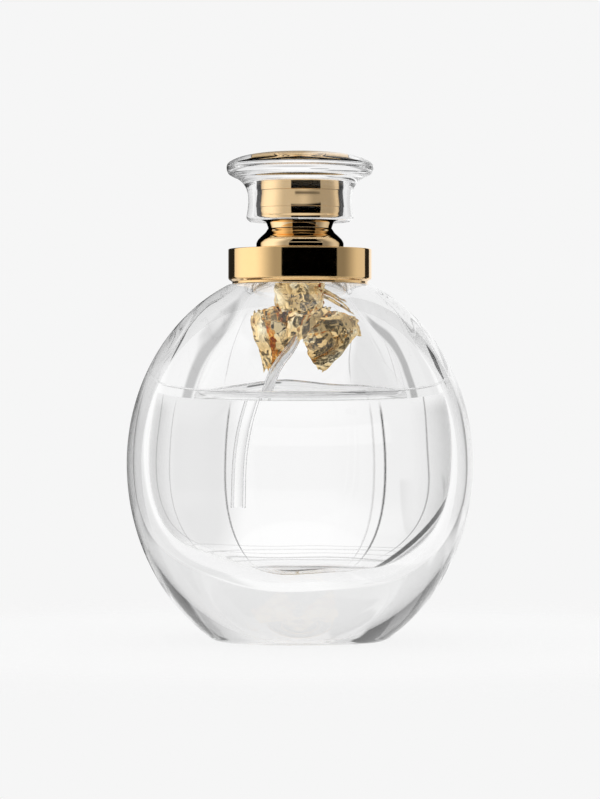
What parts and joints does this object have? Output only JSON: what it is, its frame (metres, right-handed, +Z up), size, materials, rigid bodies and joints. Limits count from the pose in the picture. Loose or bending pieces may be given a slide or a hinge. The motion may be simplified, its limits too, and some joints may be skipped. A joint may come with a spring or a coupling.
{
  "type": "perfume bottle",
  "caption": "Round thick-walled glass perfume flacon with crimped spray pump, gilt collar, gold leaf in the neck and a lift-off clear flared cap.",
  "frame": {"origin": "centre of the flat foot, on the surface that the bottle stands on", "axes": "+Z up along the bottle's axis, -Y the front, where the spray nozzle points, +X to the right seen from the front"},
  "size_m": [0.07, 0.07, 0.0988],
  "materials": {
    "clear_glass": "polished",
    "perfume_liquid": "polished",
    "gold_leaf": "gloss",
    "gilt_metal": "polished",
    "white_resin": "satin",
    "clear_resin": "gloss",
    "clear_acrylic": "polished",
    "spring_steel": "satin",
    "black_rubber": "matte"
  },
  "bodies": {
    "bottle": {"bottle": "clear_glass", "perfume": "perfume_liquid", "gold_leaf_left": "gold_leaf", "gold_leaf_right": "gold_leaf", "dip_tube": "clear_resin", "pump_housing": "white_resin", "return_spring": "spring_steel", "pump_turret": "white_resin", "neck_gasket": "black_rubber", "crimp_ferrule": "gilt_metal", "collar_insert": "white_resin", "collar_ring": "gilt_metal"},
    "inlet_ball": {"inlet_ball": "spring_steel"},
    "stem": {"pump_stem": "white_resin", "piston_spring": "spring_steel"},
    "piston": {"piston": "clear_resin"},
    "actuator": {"actuator_core": "white_resin", "actuator_shell": "gilt_metal", "spray_nozzle": "white_resin"},
    "grip_ring": {"grip_ring": "clear_resin"},
    "cap": {"cap_liner": "gilt_metal", "cap_sleeve": "white_resin", "cap_crystal": "clear_acrylic"}
  },
  "joints": [
    {"name": "press", "type": "slide", "parent": "bottle", "child": "stem", "axis": [0, 0, 1], "range_m": [-0.0035, 0], "stiffness_N_per_m": 800, "springref_m": 0.004, "deforming": ["return_spring"]},
    {"name": "piston_lift", "type": "slide", "parent": "stem", "child": "piston", "axis": [0, 0, 1], "range_m": [0, 0.0004], "deforming": ["piston_spring"]},
    {"name": "actuator_turn", "type": "hinge", "parent": "stem", "child": "actuator", "pos_m": [0, 0, 0.0854], "axis": [0, 0, 1], "continuous": true},
    {"name": "ball_lift", "type": "slide", "parent": "bottle", "child": "inlet_ball", "axis": [0, 0, 1], "range_m": [0, 0.0006]},
    {"name": "cap_turn", "type": "hinge", "parent": "bottle", "child": "grip_ring", "pos_m": [0, 0, 0.0803], "axis": [0, 0, 1], "continuous": true},
    {"name": "cap_lift", "type": "slide", "parent": "grip_ring", "child": "cap", "axis": [0, 0, 1], "range_m": [0, 0.03]}
  ]
}
